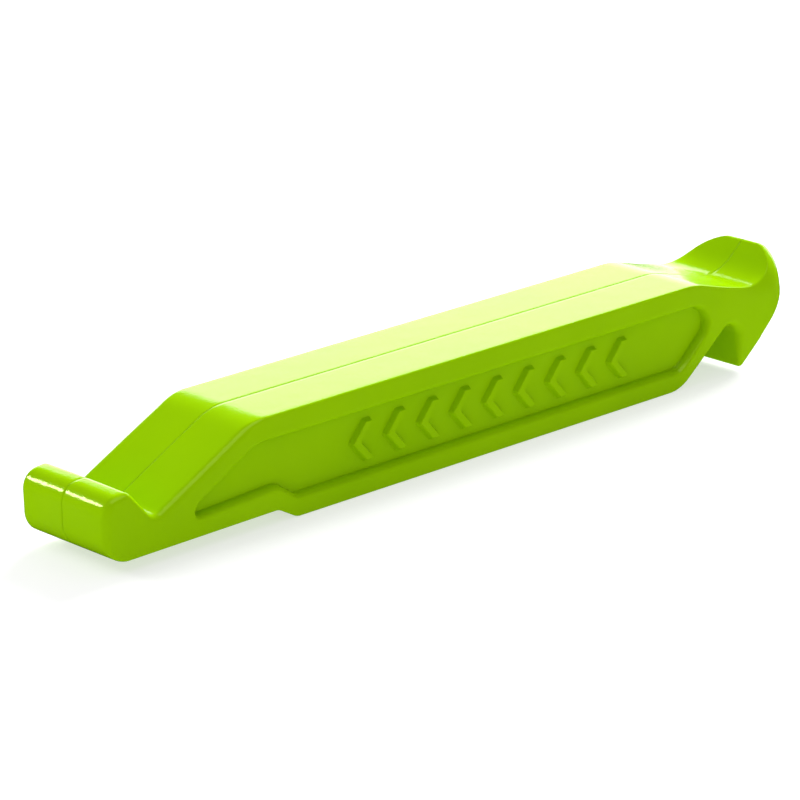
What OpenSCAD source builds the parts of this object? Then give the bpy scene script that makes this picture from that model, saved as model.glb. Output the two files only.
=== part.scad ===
/* [Lever] */
// Overall length, from the front of the hook to the back of the rim end
lever_length = 127.5; // [125:0.5:131]
// Width across the two side faces
lever_width = 17.6; // [16:0.1:20]
// Height of the flat top above the face that the lever rests on
body_height = 14.9; // [14.5:0.1:15.3]

/* [Hook end] */
// Height of the bead hook's crest
hook_height = 10.6; // [10:0.1:11]
// Gap under the hook when the lever rests on its body
hook_clearance = 1.5; // [1.2:0.1:1.8]
// Slope of the ramp from the trough to the flat top, in degrees
ramp_angle = 27.7; // [26:0.1:30]
// Corner radius of the hook, seen from above
hook_corner_r = 1.5; // [1:0.1:4]

/* [Rim end] */
// Height of the lip behind the thumb scoop
lip_height = 16; // [15.6:0.1:16.4]
// Corner radius of the rim end, seen from above
rim_corner_r = 5; // [3:0.1:6]
// Corner radius of the lip, seen from behind
lip_corner_r = 5; // [3.5:0.1:5.4]
// Gap under the tooth when the lever rests on its body
tooth_clearance = 0.6; // [0.3:0.1:1.2]
// Slope of the notch's flank, in degrees
flank_angle = 37.8; // [36:0.1:39]

/* [Side panels] */
// Depth of the sunken panel in each side face
panel_depth = 1.4; // [1:0.1:1.8]
// Height of the chevrons above the panel's floor
chevron_relief = 0.8; // [0.3:0.1:1]
// Number of chevrons in each panel
chevron_count = 9; // [3:1:9]

/* [Locating pins] */
// Diameter of the pins on the left half
pin_d = 3; // [2:0.1:3.4]
// Length of the pins
pin_length = 4; // [2:0.1:5]
// Gap all round between a pin and its socket
pin_gap = 0.05; // [0.02:0.01:0.2]

/* [Hidden] */
lime = [0.55, 0.75, 0.0];
half_w = lever_width / 2;
past = 1;
arc_steps = 10;
socket_extra = 0.3;

// An outline is a list of corners [x, z, radius]. Each corner becomes an arc of that
// radius, tangent to the two straight runs that meet there. x is measured from the
// front of the hook, and z from the face that the lever rests on.
function unit(v) = v / norm(v);
function wrap(turn) = turn > 180 ? turn - 360 : turn < -180 ? turn + 360 : turn;
function corner_arc(before, corner, after, r) =
    let (to_before = unit(before - corner),
         to_after = unit(after - corner),
         half = acos(to_before * to_after) / 2,
         centre = corner + unit(to_before + to_after) * r / sin(half),
         from = corner + to_before * r / tan(half) - centre,
         to = corner + to_after * r / tan(half) - centre,
         start = atan2(from.y, from.x),
         turn = wrap(atan2(to.y, to.x) - start))
    [for (i = [0 : arc_steps])
        let (a = start + turn * i / arc_steps)
        centre + r * [cos(a), sin(a)]];
function point(c) = [c.x, c.y];
function rounded(corners) =
    let (n = len(corners))
    [for (i = [0 : n - 1])
        each corner_arc(point(corners[(i + n - 1) % n]), point(corners[i]),
                        point(corners[(i + 1) % n]), corners[i].z)];

// The side profile, clockwise from the bottom of the hook's front.
trough = [7.9, 6.05];
ramp_top = [trough.x + (body_height - trough.y) / tan(ramp_angle), body_height];
scoop_start = 107;
scoop_bottom = [scoop_start + 13.6, 11.5];
lip_crest = [lever_length - 1, lip_height + 0.55];
flank_foot = 104;
flank_top = [flank_foot + 12, 12 * tan(flank_angle)];
step_x = 30.2;
profile_corners = [
    [0, hook_clearance, 3.6],
    [0, hook_height, 3],
    [4.1, hook_height, 1.5],
    [trough.x, trough.y, 1.8],
    [ramp_top.x, ramp_top.y, 9],
    [scoop_start, body_height, 12],
    [scoop_bottom.x, scoop_bottom.y, 7.5],
    [lip_crest.x, lip_crest.y, 0.8],
    [lever_length + 0.45, 11.3, 4],
    [120.6, 4.05, 8],
    [116.7, tooth_clearance, 0.9],
    [115.8, tooth_clearance, 0.4],
    [flank_top.x, flank_top.y, 1.9],
    [flank_foot, 0, 6],
    [step_x + 1.6, 0, 2.2],
    [step_x - 1.6, hook_clearance + 0.3, 2.2],
];
profile = rounded(profile_corners);
profile_x = [for (p = profile) p.x];
middle_x = (min(profile_x) + max(profile_x)) / 2;

// The outline seen from above.
plan_corners = [
    [min(profile_x), -half_w, hook_corner_r],
    [max(profile_x), -half_w, rim_corner_r],
    [max(profile_x), half_w, rim_corner_r],
    [min(profile_x), half_w, hook_corner_r],
];

// The round on the lip's corners starts low in the thumb scoop.
lip_corner_start = 113;
lip_corner_length = 20;
lip_corner_slope = 6;
lip_corner_z = lip_height - lip_corner_r
    + (lip_crest.x - lip_corner_start) * tan(lip_corner_slope);

// The sunken panel keeps an even margin inside the profile.
panel_top = body_height - 2.7;
panel_bottom = 2.3;
panel_corners = [
    [13.45, 3.7, 1.3],
    [14.75, 6.5, 2.5],
    [25.1, panel_top, 6],
    [107.4, panel_top, 2.5],
    [112.0, 9.3, 3],
    [104.3, panel_bottom, 4],
    [step_x + 1.6, panel_bottom, 2.2],
    [step_x - 1.6, panel_bottom + 2.2, 2.2],
];

// The chevrons stand in a row in the middle of the panel.
chevron_from = 42;
chevron_to = 90;
chevron_pitch = (chevron_to - chevron_from) / (chevron_count - 1);
chevron_h = 5.6;
chevron_point = 2.4;
chevron_stroke = 1.7;
chevron_z = (panel_top + panel_bottom) / 2;

// The pins sit on the middle plane, clear of the notch and the panel's ends.
pin_x = [30, 65, 100];
pin_z = 7.4;

// Extrudes a side outline along Y, from y0 to y1.
module across(y0, y1)
    translate([-middle_x, y1, 0])
        rotate([90, 0, 0])
            linear_extrude(y1 - y0) children();

module chevron(x)
    translate([x, chevron_z])
        polygon([
            [0, 0],
            [chevron_point, chevron_h / 2],
            [chevron_point + chevron_stroke, chevron_h / 2],
            [chevron_stroke, 0],
            [chevron_point + chevron_stroke, -chevron_h / 2],
            [chevron_point, -chevron_h / 2],
        ]);

// Everything that is cut away to sink one side's panel around its chevrons.
module panel_cut()
    difference() {
        across(-half_w - past, -half_w + panel_depth) polygon(rounded(panel_corners));
        across(-half_w - past, -half_w + panel_depth + past)
            for (i = [0 : chevron_count - 1])
                chevron(chevron_from + i * chevron_pitch);
    }

// The chevrons' tops stop below the side face.
module chevron_trim()
    across(-half_w - past, -half_w + panel_depth - chevron_relief) polygon(rounded(panel_corners));

// Rounds off the lip's outer corner. The round runs slightly downhill towards the back, so
// that it grows out of the side face at the bottom of the thumb scoop. Its facets are set
// so that none of their edges meets an edge of the rim end's round.
module lip_corner()
    translate([lip_corner_start - middle_x, lip_corner_r - half_w, lip_corner_z])
        rotate([0, 90 + lip_corner_slope, 0])
            difference() {
                translate([-lip_corner_r - past, -lip_corner_r - past, 0])
                    cube([lip_corner_r + past, lip_corner_r + past, lip_corner_length]);
                translate([0, 0, -past])
                    cylinder(r = lip_corner_r, h = lip_corner_length + 2 * past, $fn = 62);
            }

// One half of the lever on the -Y side, flat on the middle plane.
module shell()
    difference() {
        intersection() {
            across(-half_w - past, 0) polygon(rounded(profile_corners));
            translate([-middle_x, 0, -past])
                linear_extrude(lip_height + 2 * past) polygon(rounded(plan_corners));
        }
        lip_corner();
        panel_cut();
        chevron_trim();
    }

// Round bars along +Y from the middle plane, one for each pin.
module pins(d, length, start)
    for (x = pin_x)
        translate([x - middle_x, start, pin_z])
            rotate([-90, 0, 0])
                cylinder(d = d, h = length, $fn = 48);

// The +Y half carries the pins.
module left_half()
    color(lime)
        union() {
            mirror([0, 1, 0]) shell();
            mirror([0, 1, 0]) pins(pin_d, pin_length + past, -past);
        }

// The -Y half has a socket for each pin.
module right_half()
    color(lime)
        difference() {
            shell();
            mirror([0, 1, 0]) pins(pin_d + 2 * pin_gap, pin_length + socket_extra + past, -past);
        }

left_half();
right_half();
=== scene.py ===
"""The tyre lever's looks: two moulded halves of lime plastic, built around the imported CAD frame.

Lengths in the design sections are millimetres, as in the CAD source, and x is measured
from the front of the hook. Meshes are written in metres, in the frame's own axes.
"""

import math

import bmesh
import bpy
import numpy as np
from mathutils import Matrix, Vector
from mathutils.geometry import delaunay_2d_cdt


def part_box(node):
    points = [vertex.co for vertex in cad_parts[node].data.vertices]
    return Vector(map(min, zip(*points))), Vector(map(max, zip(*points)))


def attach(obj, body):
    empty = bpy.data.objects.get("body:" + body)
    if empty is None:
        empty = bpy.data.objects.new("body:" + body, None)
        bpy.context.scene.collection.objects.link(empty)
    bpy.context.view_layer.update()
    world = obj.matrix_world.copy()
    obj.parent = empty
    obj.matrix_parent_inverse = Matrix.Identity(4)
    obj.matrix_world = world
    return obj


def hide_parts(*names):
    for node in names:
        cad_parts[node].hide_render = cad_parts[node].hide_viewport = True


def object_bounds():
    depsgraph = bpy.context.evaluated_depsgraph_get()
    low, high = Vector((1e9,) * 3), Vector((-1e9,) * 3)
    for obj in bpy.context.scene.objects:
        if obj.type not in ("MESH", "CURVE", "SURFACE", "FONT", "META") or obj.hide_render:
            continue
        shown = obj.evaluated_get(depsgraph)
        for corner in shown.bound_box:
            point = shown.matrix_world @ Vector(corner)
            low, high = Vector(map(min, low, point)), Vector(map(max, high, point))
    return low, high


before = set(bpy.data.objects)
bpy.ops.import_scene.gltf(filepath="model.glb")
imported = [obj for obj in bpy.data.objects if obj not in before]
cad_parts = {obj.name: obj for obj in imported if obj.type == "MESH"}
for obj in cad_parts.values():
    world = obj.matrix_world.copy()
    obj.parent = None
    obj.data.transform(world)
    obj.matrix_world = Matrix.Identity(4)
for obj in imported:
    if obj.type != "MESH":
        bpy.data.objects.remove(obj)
CAD_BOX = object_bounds()

MM = 0.001
LOW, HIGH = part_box("right_half")
LENGTH = (HIGH.x - LOW.x) / MM
HALF_WIDTH = -LOW.y / MM
FRONT_X = LOW.x / MM
LIP_TOP = HIGH.z / MM


# ---------------------------------------------------------------- the design, in millimetres

BODY_HEIGHT = 14.9
HOOK_CLEARANCE = 1.5
HOOK_HEIGHT = 10.6
TOOTH_CLEARANCE = 0.6
NOMINAL_LENGTH = 127.5
LIP_CREST_X = NOMINAL_LENGTH - 1.03
TROUGH = (7.9, 6.05)
RAMP_ANGLE = math.radians(27.7)
RAMP_TOP_X = TROUGH[0] + (BODY_HEIGHT - TROUGH[1]) / math.tan(RAMP_ANGLE)
FLANK_ANGLE = math.radians(37.8)
FLANK_FOOT = 104.0
FLANK_RUN = 12
FLANK_TOP = (FLANK_FOOT + FLANK_RUN, FLANK_RUN * math.tan(FLANK_ANGLE))
STEP_X = 30.2

# Side profile, clockwise from the bottom of the hook's front. Each corner is
# (x, z, corner radius, round on the side edge before the corner, and after it).
PROFILE = [
    (0, HOOK_CLEARANCE, 3.6, 0.2, 1.2),
    (0, HOOK_HEIGHT - 0.18, 2.7, 1.2, 1.0),
    (4.15, HOOK_HEIGHT + 0.02, 1.3, 0.9, 0.7),
    (TROUGH[0], TROUGH[1], 1.8, 0.6, 1.1),
    (RAMP_TOP_X, BODY_HEIGHT, 9.0, 1.1, 0.3),
    (107.0, BODY_HEIGHT, 12.0, 0.25, 0.25),
    (120.6, 11.5, 7.5, 0.25, 0.25),
    (LIP_CREST_X, LIP_TOP + 0.57, 0.8, 0.25, 0.3),
    (NOMINAL_LENGTH + 0.45, 11.3, 4.0, 0.5, 0.5),
    (120.6, 4.05, 8.0, 0.5, 0.4),
    (116.7, TOOTH_CLEARANCE, 0.9, 0.4, 0.35),
    (115.8, TOOTH_CLEARANCE, 0.4, 0.3, 0.3),
    (FLANK_TOP[0], FLANK_TOP[1], 1.9, 1.3, 0.9),
    (FLANK_FOOT, 0, 6.0, 0.4, 0.2),
    (STEP_X + 1.6, 0, 2.2, 0.2, 0.2),
    (STEP_X - 1.6, HOOK_CLEARANCE + 0.3, 2.2, 0.2, 0.2),
]

# How much lower the upward surfaces lie at the side edge than on the middle plane.
TOP_CROWN = 0.03
HOOK_CROWN = 0.05
HOOK_CROWN_REACH = 4
SCOOP_CROWN = 0.15
SCOOP_CROWN_X = 113.5
SCOOP_CROWN_REACH = 5.5

# How far the side face falls back at the top and bottom of the body.
SIDE_CROWN = 0.25

# Sunken panel, clockwise from its tip by the hook. Its corners have no edge round.
PANEL_TOP = BODY_HEIGHT - 2.7
PANEL_BOTTOM = 2.2
PANEL = [
    (13.45, 3.65, 1.3, 0, 0),
    (14.75, 6.5, 2.5, 0, 0),
    (25.1, PANEL_TOP, 6.0, 0, 0),
    (107.4, PANEL_TOP, 2.5, 0, 0),
    (112.0, 9.3, 3.0, 0, 0),
    (104.3, PANEL_BOTTOM, 4.0, 0, 0),
    (STEP_X + 1.6, PANEL_BOTTOM, 2.2, 0, 0),
    (STEP_X - 1.6, PANEL_BOTTOM + 2.2, 2.2, 0, 0),
]
PANEL_DEPTH = 1.4
PANEL_WALL = 0.85
PANEL_STEEPNESS = 0.985

# A row of raised chevrons in the middle of the panel.
CHEVRONS = 9
CHEVRON_FROM = 42.0
CHEVRON_TO = 90.0
CHEVRON_HEIGHT = 5.6
CHEVRON_POINT = 2.4
CHEVRON_STROKE = 1.7
CHEVRON_RELIEF = 0.8
CHEVRON_WALL = 0.4
CHEVRON_CORNER = 0.3

# The rim end's corners seen from above, with a larger radius from RIM_GROWS_FROM_Z up.
RIM_CORNER = 5.0
RIM_CORNER_AT_LIP = 6.2
RIM_GROWS_FROM_Z = 9

# The lip's corners seen from behind. Their round fades in over LIP_RUN from LIP_START.
LIP_CORNER = 6.0
LIP_AXIS_Z = LIP_TOP - LIP_CORNER + 0.06
LIP_START = 115.0
LIP_RUN = 7.0

# Grid step of the side face's mesh, from one x to the next.
FILLER_STEPS = ((0.5, 0, 5), (1.3, 5, 112), (0.5, 112, 121), (0.24, 121, LENGTH))

# Pins of the left half and sockets of the right half.
PIN_X = (30.0, 65.0, 100.0)
PIN_Z = 7.4
PIN_RADIUS = 1.5
PIN_LENGTH = 4.0
PIN_GAP = 0.05
SOCKET_DEPTH = 4.3
PIN_CHAMFER = 0.4
PIN_SIDES = 40

# The fine groove where the halves meet, and its rings: (share of depth, share of width).
SEAM_DEPTH = 0.09
SEAM_WIDTH = 0.11
SEAM_RINGS = ((1, 0), (0.45, 0.3), (0.1, 0.7), (0, 1))

# Where the other mesh rings stand, as shares of the way across each surface.
WALL_RINGS = (0.06, 0.2, 0.35, 0.5, 0.65, 0.8, 0.92, 1.0)
EDGE_RINGS = 8
PANEL_RINGS = (-0.4, 0, 0.25, 0.42, 0.57, 0.7, 0.8, 0.88, 0.94, 0.98, 1, 1.04, 1.5)
CHEVRON_RINGS = (-0.5, -0.3, -0.1, 0.1, 0.3, 0.5)

SHARP_ANGLE = math.radians(40)
FAR = 1e9


# ---------------------------------------------------------------- outlines

def between(a, b, t):
    """The tuple a share t of the way from a to b."""
    return tuple(p + (q - p) * t for p, q in zip(a, b))


def smooth_step(t):
    """A soft step from 0 to 1 as t goes from 0 to 1."""
    t = np.clip(t, 0, 1)
    return t * t * (3 - 2 * t)


def outline(corners, arc_step=6.0, run_step=0.8):
    """Stations round a rounded polygon: (x, z, inward x, inward z, round on the side edge)."""
    arcs = []
    count = len(corners)
    for i, (x, z, radius, round_before, round_after) in enumerate(corners):
        here = Vector((x, z))
        back = (Vector(corners[i - 1][:2]) - here).normalized()
        ahead = (Vector(corners[(i + 1) % count][:2]) - here).normalized()
        half = math.acos(back.dot(ahead)) / 2
        centre = here + (back + ahead).normalized() * radius / math.sin(half)
        start = here + back * radius / math.tan(half) - centre
        stop = here + ahead * radius / math.tan(half) - centre
        first = math.atan2(start.y, start.x)
        turn = (math.atan2(stop.y, stop.x) - first + math.pi) % (2 * math.pi) - math.pi
        steps = max(4, math.ceil(abs(math.degrees(turn)) / arc_step))
        sign = math.copysign(1, turn)
        arc = []
        for k in range(steps + 1):
            angle = first + turn * k / steps
            way = Vector((math.cos(angle), math.sin(angle)))
            at = centre + way * radius
            edge = round_before + (round_after - round_before) * k / steps
            arc.append((at.x, at.y, sign * way.x, sign * way.y, edge))
        arcs.append(arc)
    stations = []
    for i, arc in enumerate(arcs):
        stations += arc
        a, b = arc[-1], arcs[(i + 1) % count][0]
        steps = max(1, math.ceil(math.dist(a[:2], b[:2]) / run_step))
        stations += [between(a, b, k / steps) for k in range(1, steps)]
    return stations


def moved(stations, distance):
    """The stations' points, moved inward by a distance."""
    return [(s[0] + s[2] * distance, s[1] + s[3] * distance) for s in stations]


def inset(stations, distance, slack=0.02):
    """The stations' points, moved inward, without those that cross at tight corners."""
    loop = moved(stations, distance)
    actual = np.abs(signed_distance(loop, moved(stations, 0)))
    return [p for p, d in zip(loop, actual) if d > abs(distance) - slack]


def signed_distance(points, loop):
    """Distance of each point to a closed loop, positive inside."""
    p = np.asarray(points, float)
    a = np.asarray(loop, float)
    b = np.roll(a, -1, axis=0)
    best = np.full(len(p), FAR)
    inside = np.zeros(len(p), bool)
    for (ax, az), (bx, bz) in zip(a, b):
        run = np.array([bx - ax, bz - az])
        t = np.clip(((p - (ax, az)) @ run) / float(run @ run), 0, 1)
        best = np.minimum(best, np.hypot(*(p - (ax, az) - t[:, None] * run).T))
        crosses = (az > p[:, 1]) != (bz > p[:, 1])
        if crosses.any():
            inside ^= crosses & (p[:, 0] < ax + (p[:, 1] - az) * run[0] / run[1])
    return np.where(inside, best, -best)


def chevron_corners(x):
    """The corners of the chevron whose point is at x."""
    z = (PANEL_TOP + PANEL_BOTTOM) / 2
    points = [
        (0, 0),
        (CHEVRON_POINT, CHEVRON_HEIGHT / 2),
        (CHEVRON_POINT + CHEVRON_STROKE, CHEVRON_HEIGHT / 2),
        (CHEVRON_STROKE, 0),
        (CHEVRON_POINT + CHEVRON_STROKE, -CHEVRON_HEIGHT / 2),
        (CHEVRON_POINT, -CHEVRON_HEIGHT / 2),
    ]
    return [(x + px, z + pz, CHEVRON_CORNER, 0, 0) for px, pz in points]


def chevron_places():
    """The x of each chevron's point."""
    pitch = (CHEVRON_TO - CHEVRON_FROM) / (CHEVRONS - 1)
    return [CHEVRON_FROM + i * pitch for i in range(CHEVRONS)]


# ---------------------------------------------------------------- surfaces

def bulge(radius, offset):
    """How far a quarter round has fallen away at an offset from its start."""
    return radius - math.sqrt(max(radius**2 - max(offset, 0) ** 2, 0))


def half_width(x, z):
    """Half the lever's width at a point of the side view, before its edges are rounded."""
    lift = smooth_step((z - RIM_GROWS_FROM_Z) / (LIP_TOP - RIM_GROWS_FROM_Z))
    corner = RIM_CORNER + (RIM_CORNER_AT_LIP - RIM_CORNER) * float(lift)
    middle = BODY_HEIGHT / 2
    plan = HALF_WIDTH - SIDE_CROWN * ((z - middle) / middle) ** 2
    at_lip = float(smooth_step((x - LIP_START) / LIP_RUN))
    over = bulge(LIP_CORNER, z - LIP_AXIS_Z) * at_lip
    return plan - math.hypot(bulge(corner, x - LENGTH + corner), over)


def crown(station):
    """How much lower an upward surface lies at the side edge than at the seam."""
    x, up = station[0], max(-station[3], 0)
    at_hook = float(smooth_step((TROUGH[0] - x) / HOOK_CROWN_REACH))
    at_scoop = float(smooth_step(1 - abs(x - SCOOP_CROWN_X) / SCOOP_CROWN_REACH))
    height = TOP_CROWN + (HOOK_CROWN - TOP_CROWN) * at_hook
    return up * (height + (SCOOP_CROWN - TOP_CROWN) * at_scoop)


def panel_profile(distance):
    """Depth of the panel at a distance in from its edge: a rounded lip that steepens down
    to the floor."""
    run = np.clip(distance / PANEL_WALL, 0, 1) * PANEL_STEEPNESS
    return PANEL_DEPTH * (1 - np.sqrt(1 - run**2)) / (1 - math.sqrt(1 - PANEL_STEEPNESS**2))


def side_heights(points):
    """How far the side surface stands from the middle plane at each point."""
    panel = signed_distance(points, moved(outline(PANEL), 0))
    heights = np.array([half_width(x, z) for x, z in points])
    heights -= panel_profile(panel)
    marks = np.full(len(points), -FAR)
    for x in chevron_places():
        loop = moved(outline(chevron_corners(x)), 0)
        marks = np.maximum(marks, signed_distance(points, loop))
    return heights + CHEVRON_RELIEF * smooth_step(marks / CHEVRON_WALL + 0.5)


# ---------------------------------------------------------------- mesh building

class Half:
    """One half of the lever, built on the +Y side of the middle plane."""

    def __init__(self):
        self.bm = bmesh.new()

    def vertex(self, x, y, z):
        return self.bm.verts.new(((x + FRONT_X) * MM, y * MM, z * MM))

    def ring(self, points, depths):
        return [self.vertex(x, y, z) for (x, z), y in zip(points, depths)]

    def bridge(self, a, b):
        """A band of faces between two rings."""
        for i in range(len(a)):
            j = (i + 1) % len(a)
            self.bm.faces.new((a[i], a[j], b[j], b[i]))

    def sheet(self, loops, loose, heights, rims, is_hole=None):
        """Triangles over a flat region. The first loop is its edge, and rims maps a
        loop's index to the vertices that already stand on it."""
        points, edges, owners = [], [], []
        for index, loop in enumerate(loops):
            base = len(points)
            points += [Vector(p) for p in loop]
            owners += [(index, k) for k in range(len(loop))]
            edges += [(base + k, base + (k + 1) % len(loop)) for k in range(len(loop))]
        points += [Vector(p) for p in loose]
        flat, _, faces, origin, _, _ = delaunay_2d_cdt(points, edges, [], 1, 1e-5)
        depths = heights([(p.x, p.y) for p in flat])
        made = []
        for at, depth, sources in zip(flat, depths, origin):
            rim = [owners[s] for s in sources if s < len(owners) and owners[s][0] in rims]
            if rim:
                made.append(rims[rim[0][0]][rim[0][1]])
            else:
                made.append(self.vertex(at.x, depth, at.y))
        for face in faces:
            middle = sum((flat[k] for k in face), Vector((0, 0))) / len(face)
            if is_hole is None or not is_hole(middle):
                self.bm.faces.new([made[k] for k in face])

    def finish(self, name, mirrored):
        """The half as an object, on the -Y side if it is mirrored."""
        bm = self.bm
        if mirrored:
            bmesh.ops.scale(bm, vec=(1, -1, 1), verts=bm.verts)
        bmesh.ops.recalc_face_normals(bm, faces=bm.faces)
        for face in bm.faces:
            face.smooth = True
        for edge in bm.edges:
            if edge.is_manifold and edge.calc_face_angle() > SHARP_ANGLE:
                edge.smooth = False
        mesh = bpy.data.meshes.new(name)
        bm.to_mesh(mesh)
        bm.free()
        piece = bpy.data.objects.new(name, mesh)
        bpy.context.scene.collection.objects.link(piece)
        return piece


def seam_rings(half, stations):
    """The rings of the groove, from the middle plane out."""
    rings = []
    for depth, y in SEAM_RINGS:
        points = moved(stations, SEAM_DEPTH * depth)
        rings.append(half.ring(points, [SEAM_WIDTH * y] * len(stations)))
    return rings


def crowned_rings(half, stations, crowns):
    """The rings of the wall, from the groove to where the side edge's round starts."""
    ends = []
    for s, drop in zip(stations, crowns):
        ends.append(half_width(s[0] + s[2] * drop, s[1] + s[3] * drop) - s[4])
    rings = []
    for share in WALL_RINGS:
        level = [
            (s[0] + s[2] * drop * share**2, s[1] + s[3] * drop * share**2)
            for s, drop in zip(stations, crowns)
        ]
        rings.append(half.ring(level, [SEAM_WIDTH + (e - SEAM_WIDTH) * share for e in ends]))
    return rings


def edge_rings(half, stations, crowns):
    """The rings of the side edge's round, and the last one's points in the side view."""
    rings = []
    for k in range(1, EDGE_RINGS + 1):
        angle = math.pi / 2 * k / EDGE_RINGS
        level, depths = [], []
        for s, drop in zip(stations, crowns):
            inward = drop + s[4] * (1 - math.cos(angle))
            x, z = s[0] + s[2] * inward, s[1] + s[3] * inward
            level.append((x, z))
            depths.append(half_width(x, z) - s[4] * (1 - math.sin(angle)))
        rings.append(half.ring(level, depths))
    return rings, level


def wall(half, stations):
    """The surfaces round the profile: seam groove, crowned wall, and rounded side edge.
    Returns the ring on the middle plane, the ring where the side face starts, and that
    ring's points in the side view."""
    crowns = [crown(s) for s in stations]
    rings = seam_rings(half, stations) + crowned_rings(half, stations, crowns)
    edge, level = edge_rings(half, stations, crowns)
    rings += edge
    for a, b in zip(rings, rings[1:]):
        half.bridge(a, b)
    return rings[0], rings[-1], level


def filler(edge_loop, clear, margin=0.6):
    """Points on a grid inside an outline, closer together where the side face curves. They
    keep a margin of grid steps from the outline. Each entry of clear is a loop and how far
    to stay clear of it outside and inside."""
    points = []
    for step, x0, x1 in FILLER_STEPS:
        grid = []
        for i in range(int((x1 - x0) / step)):
            for k in range(int(LIP_TOP / step) + 1):
                grid.append((x0 + (i + 0.5) * step, (k + 0.5 * (i % 2)) * step))
        distance = signed_distance(grid, edge_loop)
        points += [p for p, d in zip(grid, distance) if d > margin * step]
    for loop, outside, inside in clear:
        distance = signed_distance(points, loop)
        points = [p for p, d in zip(points, distance) if d < -outside or d > inside]
    return points


def side_face(half, rim, rim_loop):
    """The side face, with its sunken panel and raised chevrons."""
    loops = [rim_loop]
    panel = outline(PANEL, arc_step=8, run_step=1.4)
    for share in PANEL_RINGS:
        loops.append(inset(panel, share * PANEL_WALL))
    clear = [(moved(panel, 0), 0.7, 1.6)]
    for x in chevron_places():
        mark = outline(chevron_corners(x), arc_step=20, run_step=0.7)
        for share in CHEVRON_RINGS:
            loops.append(moved(mark, share * CHEVRON_WALL))
        reach = CHEVRON_WALL * 0.5 + 0.3
        clear.append((moved(mark, 0), reach, reach))
    half.sheet(loops, filler(rim_loop, clear), side_heights, {0: rim})


def circle(x, z, radius):
    """Points round a pin or socket, in the side view."""
    turns = [2 * math.pi * k / PIN_SIDES for k in range(PIN_SIDES)]
    return [(x + radius * math.cos(a), z + radius * math.sin(a)) for a in turns]


def mating_face(half, rim, rim_loop, has_pins):
    """The flat face on the middle plane, with its pins or their sockets."""
    mouth = PIN_RADIUS if has_pins else PIN_RADIUS + PIN_GAP
    reach = -PIN_LENGTH if has_pins else SOCKET_DEPTH
    chamfer = math.copysign(PIN_CHAMFER, reach)
    loops, rims = [rim_loop], {0: rim}
    for index, x in enumerate(PIN_X, start=1):
        loops.append(circle(x, PIN_Z, mouth))
        rims[index] = half.ring(loops[-1], [0] * PIN_SIDES)
        side = half.ring(loops[-1], [reach - chamfer] * PIN_SIDES)
        tip = half.ring(circle(x, PIN_Z, mouth - PIN_CHAMFER), [reach] * PIN_SIDES)
        half.bridge(rims[index], side)
        half.bridge(side, tip)
        half.bm.faces.new(tip)

    def in_hole(at):
        return any(math.dist(at, (x, PIN_Z)) < mouth for x in PIN_X)

    half.sheet(loops, [], lambda points: [0.0] * len(points), rims, in_hole)


def build_half(name, mirrored, has_pins):
    """One whole half of the lever, as an object."""
    half = Half()
    stations = outline(PROFILE)
    seam, rim, rim_loop = wall(half, stations)
    side_face(half, rim, rim_loop)
    mating_face(half, seam, moved(stations, SEAM_DEPTH), has_pins)
    return half.finish(name, mirrored)


# ---------------------------------------------------------------- materials

def add(tree, kind, **values):
    """A new node with the named inputs set, an underscore standing for a space."""
    made = tree.nodes.new(kind)
    for key, value in values.items():
        made.inputs[key.replace("_", " ")].default_value = value
    return made


def lime_plastic():
    """Glossy lime plastic with faint pigment drift, uneven gloss, sink marks and grain."""
    material = bpy.data.materials.new("lime_plastic_look")
    material.use_nodes = True
    tree = material.node_tree
    link = tree.links.new
    shader = tree.nodes["Principled BSDF"]
    shader.inputs["IOR"].default_value = 1.5
    shader.inputs["Specular Tint"].default_value = (0.8, 1.0, 0.2, 1)
    place = add(tree, "ShaderNodeTexCoord")
    # Slow, faint drift of pigment, as in dyed nylon.
    cloud = add(tree, "ShaderNodeTexNoise", Scale=60.0, Detail=3.0)
    tint = add(tree, "ShaderNodeValToRGB")
    tint.color_ramp.elements[0].position = 0.3
    tint.color_ramp.elements[0].color = (0.255, 0.500, 0.0, 1)
    tint.color_ramp.elements[1].position = 0.7
    tint.color_ramp.elements[1].color = (0.280, 0.535, 0.0, 1)
    link(place.outputs["Object"], cloud.inputs["Vector"])
    link(cloud.outputs["Fac"], tint.inputs["Fac"])
    link(tint.outputs["Color"], shader.inputs["Base Color"])
    # Gloss that breaks up a little.
    patch = add(tree, "ShaderNodeTexNoise", Scale=220.0, Detail=4.0)
    gloss = add(tree, "ShaderNodeMapRange", To_Min=0.09, To_Max=0.17)
    link(place.outputs["Object"], patch.inputs["Vector"])
    link(patch.outputs["Fac"], gloss.inputs["Value"])
    link(gloss.outputs["Result"], shader.inputs["Roughness"])
    # Sink marks and fine mould grain.
    sink = add(tree, "ShaderNodeTexNoise", Scale=260.0, Detail=2.0)
    grain = add(tree, "ShaderNodeTexNoise", Scale=2600.0, Detail=2.0)
    slow = add(tree, "ShaderNodeBump", Strength=0.08, Distance=0.0004)
    fast = add(tree, "ShaderNodeBump", Strength=0.3, Distance=0.00006)
    link(place.outputs["Object"], sink.inputs["Vector"])
    link(place.outputs["Object"], grain.inputs["Vector"])
    link(sink.outputs["Fac"], slow.inputs["Height"])
    link(grain.outputs["Fac"], fast.inputs["Height"])
    link(slow.outputs["Normal"], fast.inputs["Normal"])
    link(fast.outputs["Normal"], shader.inputs["Normal"])
    return material


def floor_finish():
    """A matt white floor that glows a little, so that it stays pale in soft light."""
    material = bpy.data.materials.new("pale_floor")
    material.use_nodes = True
    shader = material.node_tree.nodes["Principled BSDF"]
    shader.inputs["Base Color"].default_value = (0.45, 0.45, 0.45, 1)
    shader.inputs["Roughness"].default_value = 0.9
    shader.inputs["Specular IOR Level"].default_value = 0.0
    shader.inputs["Emission Color"].default_value = (1, 1, 1, 1)
    shader.inputs["Emission Strength"].default_value = 0.58
    return material


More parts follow.
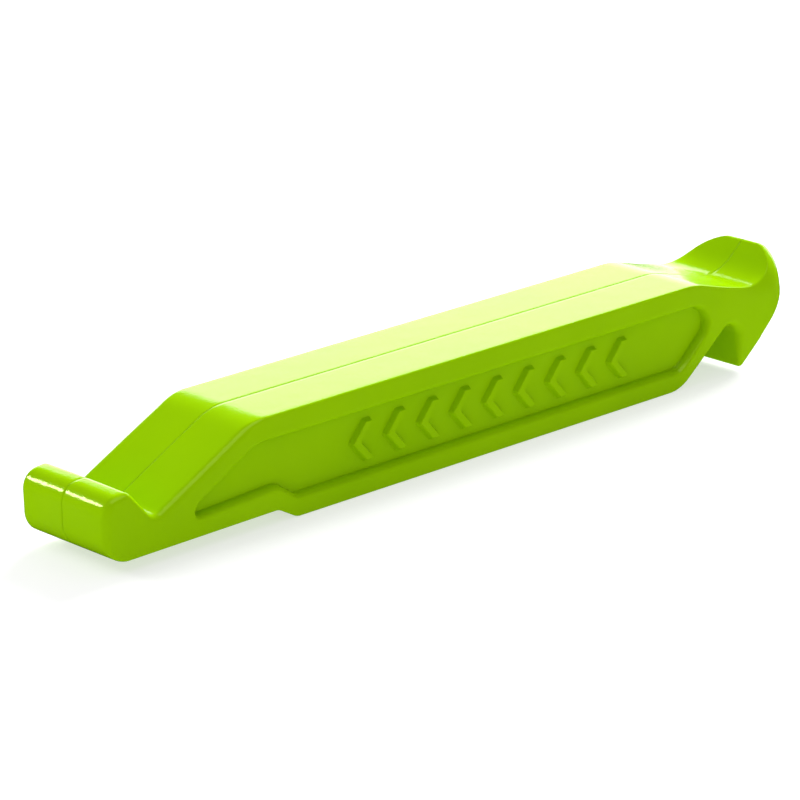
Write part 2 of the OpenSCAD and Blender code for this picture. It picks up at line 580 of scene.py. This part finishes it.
# ---------------------------------------------------------------- stage, light and camera

def make_floor(half_size=3.0, gap=0.00002):
    """A square floor a hair under the lever, which reflections leave out."""
    bm = bmesh.new()
    bmesh.ops.create_grid(bm, x_segments=2, y_segments=2, size=half_size)
    mesh = bpy.data.meshes.new("floor")
    bm.to_mesh(mesh)
    bm.free()
    floor = bpy.data.objects.new("floor", mesh)
    floor.location.z = CAD_BOX[0][2] - gap
    floor.visible_glossy = False
    mesh.materials.append(floor_finish())
    bpy.context.scene.collection.objects.link(floor)


def soft_box(name, place, size, power, diffuse=True, glossy=True):
    """A rectangular light at a place, aimed at the lever."""
    light = bpy.data.lights.new(name, "AREA")
    light.shape = "RECTANGLE"
    light.size, light.size_y = size
    light.energy = power
    lamp = bpy.data.objects.new(name, light)
    lamp.location = place
    lamp.rotation_euler = (-Vector(place)).to_track_quat("-Z", "Y").to_euler()
    lamp.visible_diffuse = diffuse
    lamp.visible_glossy = glossy
    bpy.context.scene.collection.objects.link(lamp)


def make_light():
    """A dim white surround and five soft boxes. Places and sizes are in metres."""
    scene = bpy.context.scene
    world = bpy.data.worlds.new("studio")
    world.use_nodes = True
    background = world.node_tree.nodes["Background"]
    background.inputs["Color"].default_value = (1, 1, 1, 1)
    background.inputs["Strength"].default_value = 0.6
    world.cycles_visibility.glossy = False
    scene.world = world
    soft_box("backdrop", (1.1, 1.0, 0.26), (1.8, 0.77), 9.6)
    soft_box("strip", (-0.56, 0.90, 0.55), (0.30, 0.14), 4)
    soft_box("overhead", (0.07, -0.48, 1.09), (0.9, 0.9), 5, diffuse=False)
    soft_box("fill", (1.2, 0.52, 0.73), (0.8, 0.8), 57, glossy=False)
    soft_box("left_top", (-0.75, 0.15, 1.29), (0.8, 0.8), 4, glossy=False)


def make_camera():
    """The camera, by its bearing round the lever, the point it aims at, and its roll."""
    azimuth, elevation, roll = (math.radians(a) for a in (-42.04, 18.48, -1.43))
    aim = Vector((FRONT_X + 60.39, 2.74, 6.50)) * MM
    distance = 540.67 * MM
    camera = bpy.data.cameras.new("camera")
    camera.sensor_width = 36.0
    camera.lens = 178.35
    camera.clip_start = 0.01
    back = Vector((
        math.sin(azimuth) * math.cos(elevation),
        -math.cos(azimuth) * math.cos(elevation),
        math.sin(elevation),
    ))
    seat = bpy.data.objects.new("camera", camera)
    turn = back.to_track_quat("Z", "Y").to_matrix() @ Matrix.Rotation(roll, 3, "Z")
    seat.matrix_world = Matrix.Translation(aim + back * distance) @ turn.to_4x4()
    bpy.context.scene.collection.objects.link(seat)
    bpy.context.scene.camera = seat


# ---------------------------------------------------------------- the scene

make_camera()
make_floor()
make_light()
bpy.context.scene.view_settings.view_transform = "Standard"

finish = lime_plastic()
for cad_node, mirrored, has_pins in (("left_half", False, True), ("right_half", True, False)):
    piece = build_half(cad_node + "_shell", mirrored, has_pins)
    piece.data.materials.append(finish)
    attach(piece, "root")
    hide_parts(cad_node)
